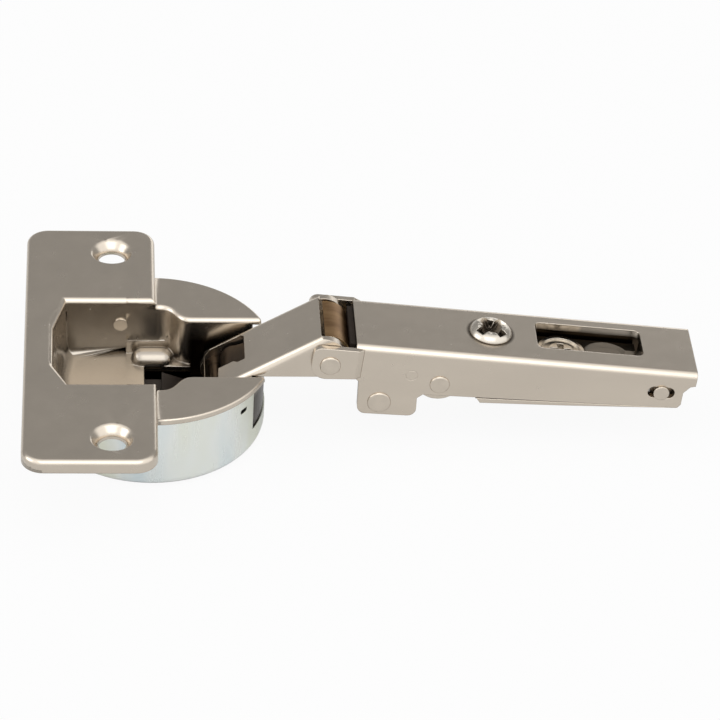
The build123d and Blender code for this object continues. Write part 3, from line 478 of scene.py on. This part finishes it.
def plated(
    name, colour, rough, spread=0.03, wear_and_highlight=1.12, clouds=170, stretch=(1, 1, 1),
    edge=EDGE_RADIUS, painted_shades=(),
):
    """Satin plate on sheet steel: soft clouds, a fine grain, edges lightened as part wear and part
    painted highlight, and painted shade where it lies deep.
    """
    finish = Finish(name)
    cloud = finish.noise(clouds, detail=4, stretch=stretch)
    tones = (scaled(colour, 1 - spread), opaque(colour), scaled(colour, 1 + spread))
    base = finish.ramp(cloud, tuple(zip(CLOUD_STOPS, tones)))
    smooth = finish.rounded(edge)
    # Edges lighter: part wear, part painted highlight
    base = finish.mix(finish.edge_wear_and_highlight(smooth, EDGE_WEAR_AND_HIGHLIGHT_GAIN), base, scaled(colour, wear_and_highlight))
    # Painted shade in the deep places
    for depth, dark in painted_shades:
        base = finish.mix(depth(finish), base, opaque(dark))
    fine = finish.noise(GRAIN_SCALE, detail=2)
    patches = finish.noise(clouds * 4, detail=5)
    roughness = finish.span(patches, rough - 0.04, rough + 0.05)
    normal = finish.bump(fine, GRAIN_DEPTH, 0.10, smooth)
    return finish.end(base, roughness, normal)


def zinc_plate(name):
    """Bright zinc on the drawn can: pale, with faint blue and yellow bands down its side."""
    finish = Finish(name)
    band = finish.noise(75, detail=3, stretch=(1, 1, 0.25))
    base = finish.ramp(
        band,
        (
            (0.30, opaque(ZINC_BLUE)),
            (0.44, opaque(ZINC_PALE)),
            (0.58, opaque(ZINC_YELLOW)),
            (0.72, opaque(ZINC_PALE)),
        ),
    )
    # Painted shade inside the can
    base = finish.mix(can_painted_shade(finish), base, opaque(DEEP_PAINTED_SHADE))
    smooth = finish.rounded(EDGE_RADIUS)
    streak = finish.noise(900, detail=4, stretch=(1, 1, 0.08))
    roughness = finish.span(streak, 0.22, 0.36)
    normal = finish.bump(streak, 0.006 * MM, 0.3, smooth)
    return finish.end(base, roughness, normal)


def tempered(name, low, high):
    """Oil-tempered leaf: brown heat tint on its faces, gold on the sheared edges."""
    finish = Finish(name)
    cloud = finish.noise(260, detail=4, stretch=(1, 3, 1))
    faces = finish.ramp(cloud, ((0.3, opaque(low)), (0.72, opaque(high))))
    across = finish.add("ShaderNodeSeparateXYZ")
    finish.link(finish.add("ShaderNodeNewGeometry").outputs["Normal"], across.inputs[0])
    sideways = finish.maths("ABSOLUTE", across.outputs["Y"])
    cut = finish.maths("GREATER_THAN", sideways, CUT_FACE)
    base = finish.mix(cut, faces, opaque(SPRING_GOLD))
    line = finish.noise(2600, detail=3, stretch=(0.1, 1, 0.1))
    roughness = finish.span(line, 0.28, 0.42)
    normal = finish.bump(line, GRAIN_DEPTH, 0.4, finish.rounded(LEAF_EDGE_RADIUS))
    return finish.end(base, roughness, normal)


def moulded(name, colour, rough):
    """Moulded plastic with a fine spark-eroded grain."""
    finish = Finish(name)
    cloud = finish.noise(400, detail=3)
    base = finish.ramp(cloud, ((0.3, scaled(colour, 0.8)), (0.7, scaled(colour, 1.3))))
    grain = finish.noise(6500, detail=2)
    roughness = finish.span(grain, rough - 0.08, rough + 0.1)
    normal = finish.bump(grain, 0.012 * MM, 0.4, finish.rounded(EDGE_RADIUS))
    finish.shader.inputs["Specular IOR Level"].default_value = 0.25
    return finish.end(base, roughness, normal, metallic=0.0)


def paint(material, *names):
    """Give CAD nodes a finish of the scene's own."""
    for name in names:
        slots = nodes[name].data.materials
        slots.clear()
        slots.append(material)


nickel = plated("satin_nickel", NICKEL, 0.25)
# The cup's finish carries painted shade in its pocket and in the links' well
nickel_cup = plated(
    "satin_nickel_cup",
    NICKEL,
    0.25,
    edge=CUP_EDGE_RADIUS,
    painted_shades=((pocket_painted_shade, POCKET_PAINTED_SHADE), (well_painted_shade, DEEP_PAINTED_SHADE)),
)
# The arm's finish carries painted shade on its inner faces and a painted shadow round its screw
nickel_arm = plated(
    "satin_nickel_arm",
    NICKEL,
    0.25,
    stretch=(0.35, 1, 1),
    edge=ARM_EDGE_RADIUS,
    painted_shades=((arm_painted_shade, DEEP_PAINTED_SHADE),),
)
nickel_pin = plated(
    "riveted_nickel", NICKEL, 0.24, spread=0.05, clouds=700, edge=PIN_EDGE_RADIUS
)
# Painted shade inside the channel
inner_plate = plated("inner_nickel", NICKEL, 0.30, painted_shades=((channel_painted_shade, CHANNEL_PAINTED_SHADE),))
link_steel = plated("link_steel", LINK_STEEL, 0.30, spread=0.12, wear_and_highlight=1.6, clouds=300)
screw_steel = plated("screw_steel", BRIGHT_STEEL, 0.22, spread=0.05, clouds=500)
# Painted shade down in the screw's cross recess
cross_steel = plated(
    "cross_steel",
    BRIGHT_STEEL,
    0.26,
    spread=0.05,
    clouds=500,
    painted_shades=((cross_painted_shade, DEEP_PAINTED_SHADE),),
)
wire = plated("spring_wire", BRIGHT_STEEL, 0.25, clouds=900)
zinc = zinc_plate("bright_zinc")
leaf_inner = tempered("tempered_leaf_inner", *LEAF_INNER)
leaf_middle = tempered("tempered_leaf_middle", *LEAF_MIDDLE)
leaf_outer = tempered("tempered_leaf_outer", *LEAF_OUTER)
damper_plastic = moulded("damper_plastic", PLASTIC_BLACK, 0.42)
saddle_plastic = moulded("saddle_plastic", SADDLE_BLACK, 0.75)

paint(nickel, "outer_link")
paint(nickel_cup, "cup_cover")
paint(nickel_arm, "arm_channel", "inner_link_arm_pin")
paint(nickel_pin, "outer_link_arm_pin", "front_hook_stud_near", "front_hook_stud_far")
paint(nickel_pin, "adjuster_rivet_near", "adjuster_rivet_far", "latch_pins")
paint(inner_plate, "adjusting_channel", "release_latch")
paint(link_steel, "inner_link", "outer_link_cup_pin", "inner_link_cup_pin")
paint(screw_steel, "side_adjusting_screw", "depth_cam", "damper_piston")
paint(wire, "damper_spring", "latch_spring")
paint(zinc, "cup_can")
paint(leaf_outer, "spring_leaf_1")
paint(leaf_middle, "spring_leaf_2")
paint(leaf_inner, "spring_leaf_3")
paint(damper_plastic, "damper_housing", "damper_slider", "damper_cylinder")
paint(saddle_plastic, "spring_saddle")


def in_arm(u, y, v):
    """A point of the arm's own axes, in the frame."""
    return (ARM_FRONT + u * ARM_ALONG + v * ARM_ABOVE + Vector((0, y, 0))) * MM


def shaped(name, mesh_data):
    """An object from a bmesh, with its faces turned outward."""
    bmesh.ops.recalc_face_normals(mesh_data, faces=mesh_data.faces)
    mesh = bpy.data.meshes.new(name)
    mesh_data.to_mesh(mesh)
    mesh_data.free()
    made = bpy.data.objects.new(name, mesh)
    bpy.context.scene.collection.objects.link(made)
    return made


def rings(name, loops):
    """A solid through closed loops of the same number of points, capped at both ends."""
    made = bmesh.new()
    layers = [[made.verts.new(point) for point in loop] for loop in loops]
    count = len(layers[0])
    for lower, upper in zip(layers, layers[1:]):
        for i in range(count):
            j = (i + 1) % count
            made.faces.new((lower[i], lower[j], upper[j], upper[i]))
    made.faces.new(layers[0][::-1])
    made.faces.new(layers[-1])
    return shaped(name, made)


def prism(name, outline, heights, place):
    """A flat outline extruded between two heights, set down by a placing function."""
    return rings(name, [[place(a, b, height) for a, b in outline] for height in heights])


def finished(made, body, material):
    """Shade a piece, give it its finish, and let it ride a body."""
    made.data.materials.clear()
    made.data.materials.append(material)
    made.data.shade_smooth()
    made.data.set_sharp_from_angle(angle=SHARP_ANGLE)
    flatter = made.modifiers.new("flat_faces_first", "WEIGHTED_NORMAL")
    flatter.weight = FLAT_WEIGHT
    flatter.keep_sharp = True
    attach(made, body)


def carve(made, tool, operation):
    """Join a tool to a solid or cut it away, and drop the tool."""
    step = made.modifiers.new("step", "BOOLEAN")
    step.operation = operation
    step.solver = "EXACT"
    step.object = tool
    bpy.context.view_layer.update()
    evaluated = made.evaluated_get(bpy.context.evaluated_depsgraph_get())
    result = bpy.data.meshes.new_from_object(evaluated)
    made.modifiers.clear()
    made.data = result
    bpy.data.objects.remove(tool)


def copy_of(node, name):
    """A welded copy of a CAD node, to work on."""
    welded = bmesh.new()
    welded.from_mesh(nodes[node].data)
    bmesh.ops.remove_doubles(welded, verts=welded.verts, dist=WELD)
    return shaped(name, welded)


def grown(plan, amount):
    """A plan with its outline moved outward, kept in place at its right end."""
    middle = Vector((sum(x for x, _ in plan) / len(plan), 0))
    out = []
    for i, (x, y) in enumerate(plan):
        here = Vector((x, y))
        before = (here - Vector(plan[i - 1])).normalized()
        after = (Vector(plan[(i + 1) % len(plan)]) - here).normalized()
        if i in (0, len(plan) - 1):
            out.append((x, y + math.copysign(amount, y)))
            continue
        normal_before = Vector((before.y, -before.x))
        normal_after = Vector((after.y, -after.x))
        if normal_before.dot(here - middle) < 0:
            normal_before, normal_after = -normal_before, -normal_after
        corner = (normal_before + normal_after).normalized()
        reach = amount / max(SHARPEST_CORNER, corner.dot(normal_before))
        out.append((x + corner.x * reach, y + corner.y * reach))
    return out


def level(height):
    """The pocket's plan at a height, drafted between its floor and its top."""
    share = (height - POCKET_FLOOR) / (FLANGE_TOP - POCKET_FLOOR)
    return [
        (low[0] + share * (top[0] - low[0]), low[1] + share * (top[1] - low[1]))
        for low, top in zip(POCKET_LOW_PLAN, POCKET_TOP_PLAN)
    ]


def placed(plan, height):
    """A plan's points in the frame, at a height."""
    return [Vector((x, y, height)) * MM for x, y in plan]


def clipped(plan, end):
    """A plan with its right end moved to x = end."""
    return [(end, y) if i in (0, len(plan) - 1) else (x, y) for i, (x, y) in enumerate(plan)]


def slab(name, plan, heights):
    """A plan extruded between two heights of the frame."""
    return rings(name, [placed(plan, z) for z in heights])


def pocket_loop(height, amount, end):
    """The pocket's outline at a height, moved outward and ended at x = end."""
    return placed(clipped(grown(level(height), amount), end), height)


def quarter_turns():
    """The angles that a quarter round is built through."""
    return [math.radians(90 * step / ROUND_STEPS) for step in range(ROUND_STEPS + 1)]


def pocket_fill():
    """Solid metal where the pocket is drawn anew."""
    heights = (POCKET_FLOOR - POCKET_SHEET, FLANGE_TOP - FILL_UNDER_TOP)
    return rings("fill", [pocket_loop(z, POCKET_SHEET, FILL_END) for z in heights])


def pocket_hollow():
    """The inside of the pocket: cove at the floor, slanted walls, rolled rim."""
    loops = []
    for turn in quarter_turns():
        z = POCKET_FLOOR + COVE_R * (1 - math.cos(turn))
        loops.append(pocket_loop(z, -COVE_R * (1 - math.sin(turn)), HOLLOW_END))
    for turn in quarter_turns():
        z = FLANGE_TOP - RIM_R + RIM_R * math.sin(turn)
        loops.append(pocket_loop(z, RIM_R * (1 - math.cos(turn)), HOLLOW_END))
    top = clipped(grown(level(FLANGE_TOP), RIM_R), HOLLOW_END)
    loops.append(placed(top, FLANGE_TOP + HOLLOW_ABOVE))
    return rings("hollow", loops)


def rounded_bump():
    """The bump on the pocket's floor: a lying drum with rounded ends, cut flat underneath."""
    turns = [t * math.tau / BUMP_SIDES for t in range(BUMP_SIDES)]
    loops = []
    for step in range(BUMP_STEPS + 1):
        along = math.sin((-1 + 2 * step / BUMP_STEPS) * math.pi / 2)
        x = BUMP_MIDDLE + BUMP_REACH * along
        radius = BUMP_R * max(BUMP_TIP, 1 - abs(along) ** BUMP_FULLNESS) ** 0.5
        loops.append(
            [
                Vector((x, BUMP_Y + radius * math.cos(t), BUMP_Z + radius * math.sin(t))) * MM
                for t in turns
            ]
        )
    bump = rings("bump", loops)
    carve(bump, slab("under", BUMP_BASE_PLAN, BUMP_BASE_Z), "DIFFERENCE")
    return bump


def make_cover():
    """The cup cover, with its pocket redrawn and a rounded bump in it."""
    cover = copy_of("cup_cover", "cup_cover_drawn")
    carve(cover, pocket_fill(), "UNION")
    carve(cover, pocket_hollow(), "DIFFERENCE")
    near, far = OLD_BUMP_Y
    old_bump = ((FILL_END, near), (OLD_BUMP_END, near), (OLD_BUMP_END, far), (FILL_END, far))
    carve(cover, slab("old_bump", old_bump, OLD_BUMP_Z), "DIFFERENCE")
    carve(cover, rounded_bump(), "UNION")
    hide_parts("cup_cover")
    finished(cover, "cup", nickel_cup)


def on_far_wall(a, b, height):
    """A point of the tool mark: a and b in the pocket's far wall, height out of it."""
    return Vector((MARK_X + a, MARK_Y - height, MARK_Z + b)) * MM


def make_wall_mark():
    """The round tool mark on the pocket's far wall."""
    turns = [t * math.tau / MARK_SIDES for t in range(MARK_SIDES)]
    circle = [(MARK_R * math.cos(t), MARK_R * math.sin(t)) for t in turns]
    mark = prism("pocket_tool_mark", circle, MARK_DEPTHS, on_far_wall)
    finished(mark, "cup", nickel)


def cross_blade(turn):
    """One bar of the screw's cross recess, longer at its mouth than at its floor."""
    along = Vector((math.cos(turn), math.sin(turn)))
    across = Vector((-along.y, along.x))
    loops = []
    for v, length, width in CROSS_LEVELS:
        spots = [
            along * a * length * CROSS_LENGTH + across * b * width * CROSS_WIDTH
            for a, b in CORNERS
        ]
        loops.append([in_arm(SCREW_UV[0] + spot.x, SCREW_UV[1] + spot.y, v) for spot in spots])
    return rings("blade", loops)


def make_screw():
    """The side adjusting screw with a wide cross recess."""
    screw = copy_of("side_adjusting_screw", "side_adjusting_screw_cut")
    for turn in (CROSS_TURN, CROSS_TURN + math.pi / 2):
        carve(screw, cross_blade(turn), "DIFFERENCE")
    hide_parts("side_adjusting_screw")
    finished(screw, "side_screw", cross_steel)


def make_arm_edges(side, place_name):
    """On one side, the jog behind the ear and the arm's wall down to its lower edge."""

    def seen_from_above(a, b, height):
        return in_arm(a, side * b, height)

    def seen_from_the_side(a, b, height):
        return in_arm(a, side * height, b)

    jog = (
        (EAR_END - JOG_OVERLAP, EAR_OUTER),
        (EAR_END + JOG_LENGTH, ARM_HALF),
        (EAR_END - JOG_OVERLAP, ARM_HALF - JOG_INSET),
    )
    corner = prism("arm_jog_" + place_name, jog, (JOG_LOW, JOG_HIGH), seen_from_above)
    finished(corner, "arm", nickel_arm)
    wall = (ARM_HALF - ARM_SHEET, ARM_HALF)
    strip = prism("arm_lower_edge_" + place_name, ARM_LOWER_EDGE, wall, seen_from_the_side)
    finished(strip, "arm", nickel_arm)


def make_floor():
    """A pale floor under the cup. It shows as white, and keeps the part's shadow."""
    bpy.ops.mesh.primitive_plane_add(size=FLOOR_SIZE, location=(0, 0, cad_box[0][2]))
    floor = bpy.context.object
    floor.name = "studio_floor"
    material = bpy.data.materials.new("studio_floor")
    material.use_nodes = True
    tree = Tree(material.node_tree)
    surface = tree.nodes["Principled BSDF"]
    surface.inputs["Base Color"].default_value = FLOOR_COLOUR
    surface.inputs["Roughness"].default_value = FLOOR_ROUGHNESS
    surface.inputs["Specular IOR Level"].default_value = 0.0
    glow = tree.add("ShaderNodeEmission")
    glow.inputs["Color"].default_value = grey(1.0)
    glow.inputs["Strength"].default_value = 1.0
    path = tree.add("ShaderNodeLightPath")
    shown = tree.maths("MULTIPLY", path.outputs["Is Camera Ray"], FLOOR_GLOW)
    mirrored = tree.maths("MULTIPLY", path.outputs["Is Glossy Ray"], FLOOR_MIRRORED)
    blend = tree.add("ShaderNodeMixShader")
    tree.link(tree.maths("ADD", shown, mirrored, clamp=True), blend.inputs[0])
    tree.link(surface.outputs[0], blend.inputs[1])
    tree.link(glow.outputs[0], blend.inputs[2])
    tree.link(blend.outputs[0], tree.nodes["Material Output"].inputs["Surface"])
    floor.data.materials.append(material)


def make_studio():
    """A plain studio round the part: bright in front and overhead, and a soft grey at the back."""
    world = bpy.data.worlds.new("studio")
    bpy.context.scene.world = world
    world.use_nodes = True
    tree = Tree(world.node_tree)
    parts = tree.add("ShaderNodeSeparateXYZ")
    tree.link(tree.add("ShaderNodeTexCoord").outputs["Generated"], parts.inputs[0])
    front = tree.maths("MULTIPLY", parts.outputs["Y"], -1.0)
    angle = tree.maths("ARCTAN2", parts.outputs["Z"], front)
    half_turns = tree.maths("DIVIDE", angle, math.pi)
    levels = [(place, grey(brightness)) for place, brightness in STUDIO_LEVELS]
    tree.link(tree.ramp(half_turns, levels), tree.nodes["Background"].inputs["Color"])


def make_lamp(name, place, size, power):
    """A square soft lamp that looks at the part."""
    light = bpy.data.lights.new(name, "AREA")
    light.size = size
    light.energy = power
    lamp = bpy.data.objects.new(name, light)
    bpy.context.scene.collection.objects.link(lamp)
    lamp.location = place
    lamp.rotation_euler = (TARGET - Vector(place)).to_track_quat("-Z", "Y").to_euler()


def make_camera():
    """The photograph's camera."""
    level_reach = math.cos(ELEVATION)
    forward = Vector(
        (math.sin(YAW) * level_reach, math.cos(YAW) * level_reach, -math.sin(ELEVATION))
    )
    flat = Vector((math.cos(YAW), -math.sin(YAW), 0))
    upright = flat.cross(forward)
    right = math.cos(ROLL) * flat + math.sin(ROLL) * upright
    up = math.cos(ROLL) * upright - math.sin(ROLL) * flat
    lens = bpy.data.cameras.new("camera")
    lens.lens = LENS
    lens.sensor_width = SENSOR
    lens.clip_start = CLIP_START
    camera = bpy.data.objects.new("camera", lens)
    bpy.context.scene.collection.objects.link(camera)
    turn = Matrix((right, up, -forward)).transposed().to_4x4()
    camera.matrix_world = Matrix.Translation(TARGET - DISTANCE * forward) @ turn
    bpy.context.scene.camera = camera


make_cover()
make_wall_mark()
make_screw()
make_arm_edges(-1, "near")
make_arm_edges(1, "far")
make_floor()
make_studio()
make_lamp("key_lamp", **KEY_LAMP)
make_lamp("side_lamp", **SIDE_LAMP)
make_lamp("back_lamp", **BACK_LAMP)
make_camera()
bpy.context.scene.view_settings.view_transform = "Standard"
